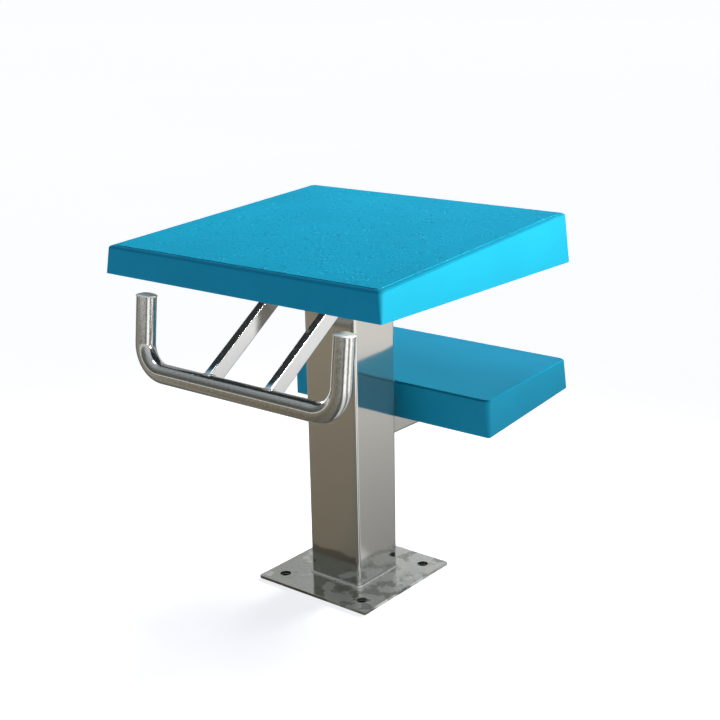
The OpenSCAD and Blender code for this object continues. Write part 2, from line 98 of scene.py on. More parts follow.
# %% Node helper
class Tree:
    """The node tree of a material or a world, with short ways to add to it."""

    def __init__(self, owner):
        owner.use_nodes = True
        self.owner, self.nodes, self.links = owner, owner.node_tree.nodes, owner.node_tree.links

    def add(self, kind, inputs=None, **settings):
        """A new node; inputs are values or the sockets that feed them."""
        node = self.nodes.new(kind)
        for name, value in settings.items():
            setattr(node, name, value)
        for name, value in (inputs or {}).items():
            if isinstance(value, bpy.types.NodeSocket):
                self.links.new(value, node.inputs[name])
            else:
                node.inputs[name].default_value = value
        return node

    def place(self, stretch=(1, 1, 1), turned=(0, 0, 0)):
        """Object coordinates, stretched and turned."""
        where = self.add("ShaderNodeTexCoord").outputs["Object"]
        return self.add("ShaderNodeMapping", {"Vector": where, "Scale": stretch,
                                              "Rotation": turned}).outputs[0]

    def noise(self, scale, where=None, detail=3.0, rough=0.5):
        """Soft random blotches; scale is in blotches per metre."""
        return self.add("ShaderNodeTexNoise", {"Vector": where or self.place(), "Scale": scale,
                                               "Detail": detail, "Roughness": rough}).outputs["Fac"]

    def cells(self, scale, where):
        """Distance to the nearest of many scattered points."""
        return self.add("ShaderNodeTexVoronoi", {"Vector": where, "Scale": scale}).outputs["Distance"]

    def part(self, vector, axis):
        """One coordinate of a vector."""
        return self.add("ShaderNodeSeparateXYZ", {"Vector": vector}).outputs[axis]

    def span(self, value, low, high, to_low, to_high):
        """value between low and high, mapped evenly to between to_low and to_high."""
        return self.add("ShaderNodeMapRange", {"Value": value, "From Min": low, "From Max": high,
                                               "To Min": to_low, "To Max": to_high}).outputs[0]

    def math(self, operation, a, b=0.0):
        """Sum, product, sine and the like of one or two values."""
        node = self.add("ShaderNodeMath", operation=operation)
        for socket, value in zip(node.inputs, (a, b)):
            if isinstance(value, bpy.types.NodeSocket):
                self.links.new(value, socket)
            else:
                socket.default_value = value
        return node.outputs[0]

    def ramp(self, value, *stops):
        """Colours by value; each stop is (value, (r, g, b))."""
        node = self.add("ShaderNodeValToRGB", {"Fac": value})
        elements = node.color_ramp.elements
        while len(elements) < len(stops):
            elements.new(0.5)
        for element, (position, colour) in zip(elements, stops):
            element.position, element.color = position, (*colour, 1)
        return node.outputs["Color"]

    def mix(self, share, a, b):
        """Colour a where share is 0 and b where it is 1."""
        node = self.add("ShaderNodeMix", data_type="RGBA")
        for number, value in ((0, share), (6, a), (7, b)):
            if isinstance(value, bpy.types.NodeSocket):
                self.links.new(value, node.inputs[number])
            else:
                node.inputs[number].default_value = value if number == 0 else (*value, 1)
        return node.outputs[2]

    def bump(self, height, depth, under=None):
        """Normal of a surface that rises by depth metres where height goes from 0 to 1."""
        inputs = {"Height": height, "Distance": depth, "Strength": 1.0}
        if under:
            inputs["Normal"] = under
        return self.add("ShaderNodeBump", inputs).outputs[0]


def finish(name, **sockets):
    """A new material; sockets are the shader's own values that are the same all over."""
    print("Finish:", name)
    tree = Tree(bpy.data.materials.new(name))
    shader = tree.nodes["Principled BSDF"]
    for socket, value in sockets.items():
        shader.inputs[socket.replace("_", " ")].default_value = value
    return tree, shader.inputs


def tones(tree, value, tint, spread, brighter=0.7):
    """A tint that is a little darker and lighter by value."""
    low, high = (tuple(v * k for v in tint) for k in (1 - spread, 1 + spread * brighter))
    return tree.ramp(value, (0.3, low), (0.7, high))


# %% [markdown]
# The photograph was taken outdoors in a bright yard and its background was cleared to white
# afterwards. A large pale floor that glows a little, like a light table, stands for both: it
# gives the clean background, and it lights the skirts and undersides from below.

# %% Floor
FLOOR_RADIUS, FLOOR_SHEET = 40, 0.5 * MM
FLOOR_GREY, FLOOR_GLOW = (0.52, 0.52, 0.52), 0.78

floor_tree, floor_sockets = finish("studio_floor", Roughness=0.9, Specular_IOR_Level=0.1,
                                   Emission_Color=(1, 1, 1, 1), Emission_Strength=FLOOR_GLOW)
floor_tree.links.new(tones(floor_tree, floor_tree.noise(0.8), FLOOR_GREY, 0.01, brighter=1.0),
                     floor_sockets["Base Color"])


def disc(name, radius, height, material):
    """A flat round sheet that belongs to the studio."""
    bm = bmesh.new()
    bmesh.ops.create_circle(bm, cap_ends=True, radius=radius, segments=96,
                            matrix=Matrix.Translation((0, 0, height)))
    mesh = bpy.data.meshes.new(name)
    bm.to_mesh(mesh)
    bm.free()
    mesh.materials.append(material)
    sheet = bpy.data.objects.new(name, mesh)
    scene.collection.objects.link(sheet)
    print(f"Studio sheet {name}: radius {radius} m")
    return sheet


disc("floor", FLOOR_RADIUS, -FLOOR_SHEET, floor_tree.owner)

# %% [markdown]
# Polished steel has hardly any colour of its own: it shows the yard that it stood in. That yard
# was brownish concrete, dull towards the pool in front, with bright walls and a darker gap
# between them on the right. So the steel gets a sheet on the floor and a sky that only mirrored
# light can see, toned by compass direction, while the picture keeps its plain pale floor.

# %% Tones of the yard and the sky, by direction in degrees from +X towards +Y
BRIGHT_WALL = (1.80, 1.79, 1.77)
YARD_TONES = ((-180, (0.25, 0.24, 0.19)), (-152, (0.25, 0.24, 0.19)), (-142, (0.46, 0.43, 0.37)),
              (-132, (0.31, 0.273, 0.205)), (-120, (0.31, 0.277, 0.21)), (-101, (0.23, 0.21, 0.17)),
              (-75, (0.30, 0.28, 0.23)), (-60, (0.44, 0.43, 0.39)), (-50, (0.24, 0.23, 0.20)),
              (-38, (0.26, 0.25, 0.24)), (-34, BRIGHT_WALL), (-15, BRIGHT_WALL),
              (-11, (0.50, 0.50, 0.49)), (4, (0.50, 0.50, 0.49)), (8, BRIGHT_WALL),
              (24, BRIGHT_WALL), (31, (1.04, 1.03, 1.01)), (53, (0.93, 0.92, 0.90)),
              (60, (0.80, 0.79, 0.77)), (66, (0.36, 0.36, 0.34)), (126, (0.33, 0.33, 0.31)),
              (146, (0.58, 0.58, 0.56)), (172, (0.56, 0.56, 0.54)), (177, (0.16, 0.16, 0.15)))
SKY_TONES = ((-180, (0.24, 0.25, 0.23)), (-126, (0.12, 0.13, 0.11)), (-75, (0.20, 0.21, 0.19)),
             (-40, (0.75, 0.76, 0.76)), (20, (0.95, 0.96, 0.97)), (45, (0.42, 0.43, 0.42)),
             (75, (0.40, 0.41, 0.40)), (118, (0.66, 0.67, 0.66)), (127, (0.66, 0.67, 0.66)),
             (132, (0.41, 0.42, 0.41)), (160, (0.26, 0.27, 0.25)))


def by_direction(tree, direction, tones):
    """Colour of the surroundings by compass direction."""
    turned = tree.math("ARCTAN2", tree.part(direction, "Y"), tree.part(direction, "X"))
    return tree.ramp(tree.span(turned, -pi, pi, 0, 1), *(((t + 180) / 360, c) for t, c in tones))


print("Tones of the yard:", len(YARD_TONES), "and of the sky:", len(SKY_TONES))


# %% [markdown]
# The yard is a glowing disc that only mirrored rays meet. Its glow grows with the distance from
# the block, so the post darkens towards its foot. The glow is also dimmed in a strip with a wavy
# border in front of the floor plate, and the post's front mirrors it as a painted dark zone above the
# plate.

# %% Mirrored yard
YARD_RADIUS = 12
BRIGHT_SIDE = (0.94, 0.34, 0)
DIM_STRIP, DIM_BORDER, DIM_WAVES, DIM_SHARE = 26 * MM, 2 * MM, 12 * MM, 0.40

yard = Tree(bpy.data.materials.new("mirrored_yard"))
yard.nodes.clear()
place = yard.place()
reach = yard.add("ShaderNodeVectorMath", {0: place}, operation="LENGTH").outputs["Value"]
along = yard.add("ShaderNodeVectorMath", {0: place, 1: BRIGHT_SIDE},
                 operation="DOT_PRODUCT").outputs["Value"]
dull, bright = yard.span(reach, 0.1, 1.4, 0.66, 1.05), yard.span(reach, 0.1, 1.5, 0.36, 0.96)
on_bright = yard.span(along, -0.05, 0.05, 0, 1)
across = yard.part(place, "Y")
# Painted dark reflection: the glow is dimmed in a wavy-edged strip in front of the floor plate.
waves = yard.span(yard.noise(30, place), 0.3, 0.7, 0, DIM_WAVES)
dim_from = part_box("base_plate")[0].y - DIM_STRIP
dimmed = yard.span(yard.math("ADD", across, waves), dim_from, dim_from + DIM_BORDER, 1.0, DIM_SHARE)
full_glow_behind = yard.math("MAXIMUM", dimmed, yard.span(across, -0.06, -0.05, 0, 1))
level = yard.add("ShaderNodeMix", {0: on_bright, 2: yard.math("MULTIPLY", dull, full_glow_behind),
                                   3: bright}).outputs[0]
glow = yard.add("ShaderNodeEmission", {"Color": by_direction(yard, place, YARD_TONES),
                                       "Strength": level})
yard.add("ShaderNodeOutputMaterial", {"Surface": glow.outputs[0]})
yard_sheet = disc("mirrored_yard", YARD_RADIUS, FLOOR_SHEET / 2 - FLOOR_SHEET, yard.owner)
yard_sheet.visible_camera = yard_sheet.visible_diffuse = yard_sheet.visible_shadow = False
print("Dim strip from y", round(dim_from, 3), "to the floor plate")

# %% [markdown]
# The sky has three faces: mirrored rays see it toned by direction, paler at the horizon and even
# overhead; matt surfaces get a weak bluish fill from it; and the camera sees it nearly white.

# %% Sky
FILL_TINT, FILL_STRENGTH, SEEN_TINT = (0.72, 0.94, 1.62, 1), 0.16, (0.975, 0.985, 1.0, 1)
OVERHEAD_TINT, HORIZON_TINT = (0.63, 0.65, 0.69), (0.90, 0.89, 0.84)

scene.world = bpy.data.worlds.new("studio_world")
sky = Tree(scene.world)
fill = sky.nodes["Background"]
fill.inputs["Color"].default_value = FILL_TINT
fill.inputs["Strength"].default_value = FILL_STRENGTH
direction = sky.add("ShaderNodeTexCoord").outputs["Generated"]
height = sky.part(direction, "Z")
around = by_direction(sky, direction, SKY_TONES)
overhead = sky.mix(sky.span(height, 0.40, 0.98, 0, 1), around, OVERHEAD_TINT)
horizon = sky.mix(sky.span(height, 0.03, 0.11, 1, 0), overhead, HORIZON_TINT)
mirrored = sky.add("ShaderNodeBackground", {"Color": horizon, "Strength": 1.0})
seen = sky.add("ShaderNodeBackground", {"Color": SEEN_TINT, "Strength": 1.0})
rays = sky.add("ShaderNodeLightPath")
lit = sky.add("ShaderNodeMixShader", {0: rays.outputs["Is Glossy Ray"], 1: fill.outputs[0],
                                      2: mirrored.outputs[0]})
shown = sky.add("ShaderNodeMixShader", {0: rays.outputs["Is Camera Ray"], 1: lit.outputs[0],
                                        2: seen.outputs[0]})
sky.links.new(shown.outputs[0], sky.nodes["World Output"].inputs["Surface"])
print("Sky:", len(sky.nodes), "nodes")

# %% [markdown]
# A weak wide sun gives the soft shadows. A low, slightly warm light on the right makes the
# right-hand skirts as bright as the photograph has them, and a low light behind reaches the tops
# of platform and step alike, which a light overhead could not, because the platform covers
# most of the step. The steel doesn't mirror the light behind.

# %% Lights
def lamp(name, kind, place, aim, energy, colour, **settings):
    """A lamp at a place that shines towards another; the camera sees no lamp."""
    light = bpy.data.lights.new(name, kind)
    light.energy, light.color = energy, colour
    for setting, value in settings.items():
        setattr(light, setting, value)
    holder = bpy.data.objects.new(name, light)
    scene.collection.objects.link(holder)
    holder.location = place
    holder.rotation_euler = (Vector(aim) - Vector(place)).to_track_quat("-Z", "Y").to_euler()
    holder.visible_camera = False
    return holder


lamp("overhead_light", "SUN", place=(-0.1, 0.06, 3), aim=(0, 0, 0), energy=0.7,
     colour=(1.0, 0.995, 0.98), angle=radians(24))
lamp("side_light", "AREA", place=(3.1, 1.05, 1.16), aim=(0.26, 0.02, 1.16), energy=36,
     colour=(1.0, 1.0, 0.85), shape="RECTANGLE", size=1.8, size_y=1.1, spread=radians(22))
rear_light = lamp("rear_light", "AREA", place=(0.15, 2.7, 1.72), aim=(0, 0.1, 0.42), energy=11.3,
                  colour=(1.0, 0.995, 0.98), shape="RECTANGLE", size=1.6, size_y=0.9,
                  spread=radians(26))
rear_light.visible_glossy = False
scene.view_settings.view_transform = "Standard"

# %% [markdown]
# Every new piece is drawn in a bmesh, already in its place, so its object stays at the origin.
# This helper turns the bmesh into an object, hangs it on the block's only body and hides the CAD
# nodes that it stands for. Weighted normals keep large faces flat beside their rounded edges.

# %% Piece helper
ROOT = "root"


def piece(name, bm, material, replaces=(), flat_faces=True, sharp=radians(40)):
    """Object from a bmesh, in its place in the frame."""
    mesh = bpy.data.meshes.new(name)
    bm.to_mesh(mesh)
    bm.free()
    mesh.shade_smooth()
    mesh.set_sharp_from_angle(angle=sharp)
    mesh.materials.append(material)
    thing = bpy.data.objects.new(name, mesh)
    scene.collection.objects.link(thing)
    if flat_faces:
        thing.modifiers.new("flat_faces", "WEIGHTED_NORMAL").keep_sharp = True
    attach(thing, ROOT)
    if replaces:
        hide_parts(*replaces)
    print(f"{name}: {len(mesh.vertices)} points, {len(mesh.polygons)} faces")
    return thing


def close_up(bm):
    """Merges doubles and points all faces outwards."""
    bmesh.ops.remove_doubles(bm, verts=bm.verts, dist=CLOSE)
    bmesh.ops.recalc_face_normals(bm, faces=bm.faces)


def round_edges(bm, edges, radius, segments):
    """Rounds edges with an arc of so many flats."""
    bmesh.ops.bevel(bm, geom=list(edges), offset=radius, offset_type="OFFSET", segments=segments,
                    profile=0.5, affect="EDGES", clamp_overlap=True, material=-1)


def open_edges(bm):
    """Edges with a face on one side only."""
    return [e for e in bm.edges if e.is_boundary]


def new_points(made):
    """The points among the things that an operator made."""
    return [g for g in made["geom"] if isinstance(g, bmesh.types.BMVert)]


def rounded_bar(low, high, axis, corner, segments):
    """A box between two corners; its edges along an axis are rounded."""
    bm = bmesh.new()
    bmesh.ops.create_cube(bm, size=1)
    bmesh.ops.scale(bm, vec=high - low, verts=bm.verts)
    bmesh.ops.translate(bm, vec=(low + high) / 2, verts=bm.verts)
    long_edges = [e for e in bm.edges if abs(e.verts[0].co[axis] - e.verts[1].co[axis]) > CLOSE]
    round_edges(bm, long_edges, corner, segments)
    close_up(bm)
    return bm


def dress(material, *nodes):
    """Gives CAD nodes a finish."""
    for name in nodes:
        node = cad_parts[name]
        node.data.materials.clear()
        node.data.materials.append(material)


# %% [markdown]
# The block's steel is stainless, polished to a mirror on the post, struts and grip and left as
# rolled on the plates. A polished sheet is never quite flat: long soft waves bend what it
# mirrors, and the polishing wheel leaves fine lines along the tube. Pictures of steel could
# carry both, but one noise for the waves and one drawn out along the tube need no picture.

# %% Steels
def polished_steel(name, tint, roughness, wave, lines, stretch, spread=0.04, haze=0.0):
    """Mirror finish with long soft waves and fine polishing lines; haze is the share that scatters."""
    tree, sockets = finish(name, Metallic=1.0 - haze)
    waves = tree.noise(9, tree.place((1, 1, 0.45)), detail=1.0)
    grain = tree.noise(1.0, tree.place(stretch), detail=4.0, rough=0.6)
    smudge = tree.noise(14, detail=4.0, rough=0.6)
    tree.links.new(tones(tree, grain, tint, spread), sockets["Base Color"])
    tree.links.new(tree.span(smudge, 0.3, 0.75, roughness * 0.75, roughness * 1.5), sockets["Roughness"])
    tree.links.new(tree.bump(grain, lines, under=tree.bump(waves, wave)), sockets["Normal"])
    return tree.owner


EVEN = (300, 300, 300)

post_steel = polished_steel("post_steel", (0.63, 0.62, 0.59), roughness=0.08, wave=1.4 * MM,
                            lines=0.002 * MM, stretch=(900, 900, 6), spread=0.012, haze=0.03)
strut_steel = polished_steel("strut_steel", (0.78, 0.79, 0.80), roughness=0.10, wave=0.1 * MM,
                             lines=0.001 * MM, stretch=(300, 40, 40), spread=0.02)
rolled_steel = polished_steel("rolled_steel", (0.56, 0.56, 0.54), roughness=0.28, wave=0.4 * MM,
                              lines=0.03 * MM, stretch=(400, 8, 8))
fastener_steel = polished_steel("fastener_steel", (0.60, 0.60, 0.58), roughness=0.22,
                                wave=0.1 * MM, lines=0.01 * MM, stretch=EVEN)
weld_steel = polished_steel("weld_steel", (0.78, 0.78, 0.76), roughness=0.18, wave=0.2 * MM,
                            lines=0.02 * MM, stretch=EVEN)
satin_steel = polished_steel("satin_steel", (0.93, 0.97, 1.0), roughness=0.62, wave=0.1 * MM,
                             lines=0.01 * MM, stretch=(500, 500, 40))
dress(rolled_steel, "head_plate", "step_mount_plate")
dress(fastener_steel, "platform_bolts", "step_bolts", "platform_flat_washers", "platform_spring_washers",
      "step_flat_washers", "step_spring_washers", "platform_panel_screws", "step_panel_screws")

# %% [markdown]
# Remains of protective film and hard water leave the floor plate a patchwork: clean mirror
# beside hazy grey patches with clear borders, and darker stains over both. A noise with a narrow
# threshold draws each of them, and more lie on the right half, where the photograph shows them.

# %% Floor plate's finish
CLEAN_TINT, HAZY_TINT, STAIN_TINT = (0.64, 0.64, 0.61), (0.84, 0.85, 0.83), (0.50, 0.52, 0.49)

plate_tree, plate_sockets = finish("plate_steel", Metallic=1.0)
where = plate_tree.place()


def patches(scale, detail, rough, left, right, start, end):
    """Patches with clear borders; left and right add to their number on each half."""
    shift = plate_tree.span(plate_tree.part(where, "X"), -0.11, 0.11, left, right)
    blotch = plate_tree.noise(scale, where, detail=detail, rough=rough)
    return plate_tree.span(plate_tree.math("ADD", blotch, shift), start, end, 0, 1)


haze = patches(26, 5.0, 0.55, -0.10, 0.11, 0.50, 0.55)
stain = patches(38, 4.0, 0.6, -0.12, 0.03, 0.53, 0.56)
fleck = plate_tree.noise(240, where)
bare = plate_tree.mix(haze, tones(plate_tree, fleck, CLEAN_TINT, 0.10),
                      tones(plate_tree, fleck, HAZY_TINT, 0.08))
unevenness = plate_tree.bump(plate_tree.noise(16, where, detail=2.0), 0.6 * MM)
plate_tree.links.new(plate_tree.mix(stain, bare, STAIN_TINT), plate_sockets["Base Color"])
plate_tree.links.new(plate_tree.span(haze, 0, 1, 0.10, 0.36), plate_sockets["Roughness"])
plate_tree.links.new(plate_tree.bump(haze, 0.04 * MM, under=unevenness), plate_sockets["Normal"])

# %% [markdown]
# The floor plate is a 5 mm sheet with four anchor holes. Cutting the holes out of a finished
# sheet would leave long thin faces, so one quarter of it is drawn as a square with a round hole,
# by bridging a circle to a square of as many points. Two mirrors give the other three quarters,
# an extrusion gives the thickness, and a fine bevel takes the edges' sharpness.

# %% Floor plate
HOLE_RADIUS, HOLE_OUT, HOLE_STEPS = 8.75 * MM, 80 * MM, 32
PLATE_CORNER, EDGE_BREAK = 3 * MM, 0.5 * MM

plate_low, plate_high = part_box("base_plate")
plate_half, plate_t = plate_high.x, plate_high.z - plate_low.z

bm = bmesh.new()
bmesh.ops.create_circle(bm, radius=HOLE_RADIUS, segments=HOLE_STEPS,
                        matrix=Matrix.Translation((HOLE_OUT, HOLE_OUT, plate_high.z)))
square = bmesh.ops.create_circle(bm, radius=plate_half / sqrt(2), segments=4,
                                 matrix=Matrix.Translation((plate_half / 2, plate_half / 2, plate_high.z))
                                 @ Matrix.Rotation(pi / 4, 4, "Z"))["verts"]
bmesh.ops.subdivide_edges(bm, edges=list({e for v in square for e in v.link_edges}),
                          cuts=HOLE_STEPS // 4 - 1)
bmesh.ops.bridge_loops(bm, edges=bm.edges[:])
for axis in "XY":
    bmesh.ops.mirror(bm, geom=bm.verts[:] + bm.edges[:] + bm.faces[:], axis=axis,
                     merge_dist=10 * CLOSE)
close_up(bm)
underside = new_points(bmesh.ops.extrude_face_region(bm, geom=bm.faces[:]))
bmesh.ops.translate(bm, vec=(0, 0, -plate_t), verts=underside)
close_up(bm)
corners = [e for e in bm.edges if abs(e.verts[0].co.z - e.verts[1].co.z) > plate_t / 2
           and all(abs(abs(c) - plate_half) < 10 * CLOSE for c in e.verts[0].co.xy)]
round_edges(bm, corners, PLATE_CORNER, 4)
rims = [e for e in bm.edges if len(e.link_faces) == 2 and e.calc_face_angle() > radians(60)]
round_edges(bm, rims, EDGE_BREAK, 2)
close_up(bm)
piece("floor_plate", bm, plate_tree.owner, ["base_plate"])

# %% [markdown]
# The post is a polished square tube, 100 mm wide with rounded corners. The floor plate and the
# head plate close its ends, so a solid bar with the tube's outside looks the same.

# %% Post
POST_CORNER = 6 * MM

post_low, post_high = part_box("post")
post_bar = rounded_bar(post_low, post_high, 2, POST_CORNER, 8)
piece("post_tube", post_bar, post_steel, ["post"])

# %% [markdown]
# A weld is a row of frozen puddles, so its bead swells and narrows every few millimetres. A
# smooth ring with a bumpy finish would keep a straight outline, so the shape itself ripples: one
# function walks a closed path with a round section whose radius rises and falls. It serves the
# post's foot and head, the step's arm and both ends of the struts.

# %% Weld beads
BEAD_STEP = 0.6 * MM
RIPPLE_LENGTH, RIPPLE_SHARE, WANDER_SHARE = 2.6 * MM, 0.16, 0.18
FOOT_BEAD, ARM_BEAD, STRUT_BEAD = 2.0 * MM, 2.0 * MM, 1.5 * MM
STAND_OFF = 0.35


def rounded_path(half_x, half_y, radius):
    """Points round a rectangle with rounded corners, anticlockwise, about a bead step apart."""
    points = []
    for quarter in range(4):
        out, run = ((half_x, half_y), (half_y, half_x))[quarter % 2]
        run -= radius
        turned = Matrix.Rotation(quarter * pi / 2, 2)
        straight = max(2, round(2 * run / BEAD_STEP))
        points += [turned @ Vector((out, -run + 2 * run * i / straight)) for i in range(straight)]
        arc = max(3, round(pi / 2 * radius / BEAD_STEP))
        points += [turned @ Vector((out - radius + radius * cos(pi / 2 * i / arc),
                                    run + radius * sin(pi / 2 * i / arc))) for i in range(arc)]
    return points


def weld_bead(name, points, radius, replaces=()):
    """A rippled round bead along a closed row of points."""
    curve = bpy.data.curves.new(name, "CURVE")
    curve.dimensions, curve.bevel_depth, curve.bevel_resolution = "3D", radius, 3
    line = curve.splines.new("POLY")
    line.points.add(len(points) - 1)
    line.use_cyclic_u = True
    for i, (point, at) in enumerate(zip(points, line.points)):
        swell = abs(sin(pi * i * BEAD_STEP / RIPPLE_LENGTH)) - 0.5
        wander = noise.noise(Vector((i * 0.05, radius * 900, 0)))
        at.co = (*point, 1)
        at.radius = 1 + RIPPLE_SHARE * swell + WANDER_SHARE * wander
    shape = bpy.data.objects.new(name, curve)
    scene.collection.objects.link(shape)
    mesh = bpy.data.meshes.new_from_object(shape.evaluated_get(bpy.context.evaluated_depsgraph_get()))
    bpy.data.objects.remove(shape)
    bm = bmesh.new()
    bm.from_mesh(mesh)
    close_up(bm)
    return piece(name, bm, weld_steel, replaces, flat_faces=False)


def ring_bead(name, half, corner, stand_off, radius, place, node):
    """A bead round a square tube with rounded corners; it stands off the tube's faces a little."""
    path = rounded_path(half + stand_off, half + stand_off, corner + stand_off)
    weld_bead(name, [place @ Vector((*point, 0)) for point in path], radius, [node])


foot_off = STAND_OFF * FOOT_BEAD
for name, height in (("foot", plate_high.z + foot_off), ("head", post_high.z - foot_off)):
    ring_bead(f"{name}_bead", post_high.x, POST_CORNER, foot_off, FOOT_BEAD,
              Matrix.Translation((0, 0, height)), f"{name}_weld")

# %% [markdown]
# Platform and step are glass-fibre mouldings: open boxes with sloping tops, drafted skirts,
# rounded corners and a narrow sloping band between top and skirt. They differ in size only, so
# one function makes both. A cube is pulled into shape and its upright edges are rounded, more
# at the top than at the rim. The top is inset, which keeps the rounded corners, and its old
# border is lowered along the skirt, so the ring between them becomes the band. A small bevel
# softens both borders of the band, and solidify gives the wall.

# %% Mouldings
RIM_BREAK = 0.7 * MM


def top_plane(depth, front_h, back_h):
    """Height of a moulding's top above its rim, at the distance y from its front edge."""
    return lambda y: front_h + (back_h - front_h) * y / depth


def edges_between(bm, least, most):
    """Edges whose two faces meet at an angle within these degrees."""
    return [e for e in bm.edges if len(e.link_faces) == 2 and least < degrees(e.calc_face_angle()) < most]


def upright_edges(bm):
    """Edges that rise from the ground."""
    return [e for e in bm.edges if (e.verts[0].co.z < HAIR) != (e.verts[1].co.z < HAIR)]


def moulding(name, size, heights, draft, corners, band, soft, wall, place, material, node):
    """Open box; corners are the corner's radii at rim and top, band the band's width and drop."""
    (width, depth), (front_h, back_h) = size, heights
    (rim_corner, top_corner), (band_width, band_drop) = corners, band
    slope, lean = (back_h - front_h) / depth, tan(draft)
    bm = bmesh.new()
    bmesh.ops.create_cube(bm, size=1)
    for v in bm.verts:
        across, along, up = (copysign(1, c) for c in v.co)
        tall = back_h / (1 + slope * lean) if along > 0 else front_h / (1 - slope * lean)
        height = tall if up > 0 else 0
        pull = height * lean
        v.co = (across * (width / 2 - pull), depth / 2 + along * (depth / 2 - pull), height)
    bottom = [f for f in bm.faces if f.calc_center_median().z < HAIR]
    bmesh.ops.delete(bm, geom=bottom, context="FACES_ONLY")
    round_edges(bm, upright_edges(bm), top_corner, 8)
    for v in bm.verts:
        if v.co.z < HAIR:
            sharp = Vector((copysign(width / 2, v.co.x), depth if v.co.y > depth / 2 else 0, 0))
            v.co = sharp.lerp(v.co, rim_corner / top_corner)
    top = max(bm.faces, key=lambda f: len(f.verts))
    bmesh.ops.inset_region(bm, faces=[top], thickness=band_width, use_even_offset=True)
    for e in upright_edges(bm):
        foot, head = sorted(e.verts, key=lambda v: v.co.z)
        head.co += (foot.co - head.co) * band_drop / (head.co.z - foot.co.z)
    bm.normal_update()
    round_edges(bm, edges_between(bm, 20, 80), soft, 3)
    bmesh.ops.recalc_face_normals(bm, faces=bm.faces)
    bmesh.ops.solidify(bm, geom=bm.faces[:], thickness=wall)
    for v in bm.verts:
        if v.co.z < wall / 4:
            v.co.z = 0
    rim = [e for e in edges_between(bm, 60, 120) if max(v.co.z for v in e.verts) < HAIR]
    round_edges(bm, rim, RIM_BREAK, 2)
    close_up(bm)
    bmesh.ops.transform(bm, matrix=place, verts=bm.verts)
    return piece(name, bm, material, [node], sharp=radians(75))


# %% [markdown]
# The platform's top carries a slightly raised field of small pebbles, which wet feet grip. It
# stops short of the rounded edge, so a smooth margin shows all round it. The field is a fine
# grid whose points are lifted by scattered cells, with a skirt that dives into the moulding.

# %% Anti-slip field
PEBBLE, PEBBLE_STEP, PEBBLE_RISE = 6 * MM, 1.6 * MM, 0.1 * MM
FIELD_CORNER = 6 * MM


def pebbled_field(name, width, depth, centre_y, plane, lift, place, material):
    """Grid of pebbles over a rectangle with rounded corners; lift is how far its edge stands up."""
    bm = bmesh.new()
    bmesh.ops.create_grid(bm, x_segments=round(width / PEBBLE_STEP),
                          y_segments=round(depth / PEBBLE_STEP), size=0.5)
    core_x, core_y = width / 2 - FIELD_CORNER, depth / 2 - FIELD_CORNER
    for v in bm.verts:
        x, y = v.co.x * width, v.co.y * depth
        dx, dy = abs(x) - core_x, abs(y) - core_y
        if dx > 0 and dy > 0 and hypot(dx, dy) > HAIR:
            scale = min(1.0, FIELD_CORNER / hypot(dx, dy))
            x, y = copysign(core_x + dx * scale, x), copysign(core_y + dy * scale, y)
        inside = min(width / 2 - abs(x), depth / 2 - abs(y))
        nearest = noise.voronoi(Vector((x, y, 0)) / PEBBLE)[0][0]
        dome = sqrt(max(0.0, 1 - (nearest / 0.75) ** 2)) * min(1.0, inside / (2.5 * PEBBLE))
        y += centre_y
        v.co = (x, y, plane(y) + PEBBLE_RISE * (dome - 1))
    for v in new_points(bmesh.ops.extrude_edge_only(bm, edges=open_edges(bm))):
        v.co.x *= 1 + lift / width
        v.co.z = plane(v.co.y) - 4 * lift
    bmesh.ops.holes_fill(bm, edges=open_edges(bm), sides=0)
    close_up(bm)
    bmesh.ops.transform(bm, matrix=place, verts=bm.verts)
    return piece(name, bm, material, flat_faces=False)


# %% [markdown]
# The mouldings are coloured through and come out of a waxed mould, so they have a soft gloss
# over a slightly uneven blue, with the mould's faint grain. The panels are a plain dark grey.

# %% Plastic's finish
def moulded_plastic(name, tint, roughness, specular):
    """A soft gloss over slightly uneven colour."""
    tree, sockets = finish(name, Roughness=roughness, Specular_IOR_Level=specular)
    tree.links.new(tones(tree, tree.noise(7), tint, 0.05, brighter=1.0), sockets["Base Color"])
    tree.links.new(tree.bump(tree.noise(500, detail=2.0), 0.04 * MM), sockets["Normal"])
    return tree.owner


platform_blue = moulded_plastic("platform_blue", (0.006, 0.235, 0.37), roughness=0.38,
                                specular=0.03)
step_blue = moulded_plastic("step_blue", (0.006, 0.230, 0.37), roughness=0.42, specular=0.05)
panel_grey = moulded_plastic("panel_grey", (0.035, 0.04, 0.04), roughness=0.55, specular=0.3)
dress(panel_grey, "platform_panel", "step_panel")

# %% [markdown]
# In patches over the field, each pebble's tip is painted paler, a painted highlight, and the
# hollow between pebbles darker, painted shade. One pattern of cells, drawn out at a slant,
# places tip and hollow, and a coarse noise says where the patches lie.

# %% Anti-slip field's finish
SKIN_TINT, HOLLOW_SHADE_TINT, TIP_HIGHLIGHT_TINT = (0.0055, 0.305, 0.46), (0.005, 0.215, 0.35), (0.04, 0.55, 0.73)

field_tree, field_sockets = finish("field_blue", Roughness=0.5, Specular_IOR_Level=0.02)
long_way = field_tree.add("ShaderNodeMapping", {"Vector": field_tree.place(turned=(0, 0, radians(-40))),
                                               "Scale": (1, 0.42, 1)}).outputs[0]
grains = field_tree.cells(330, long_way)
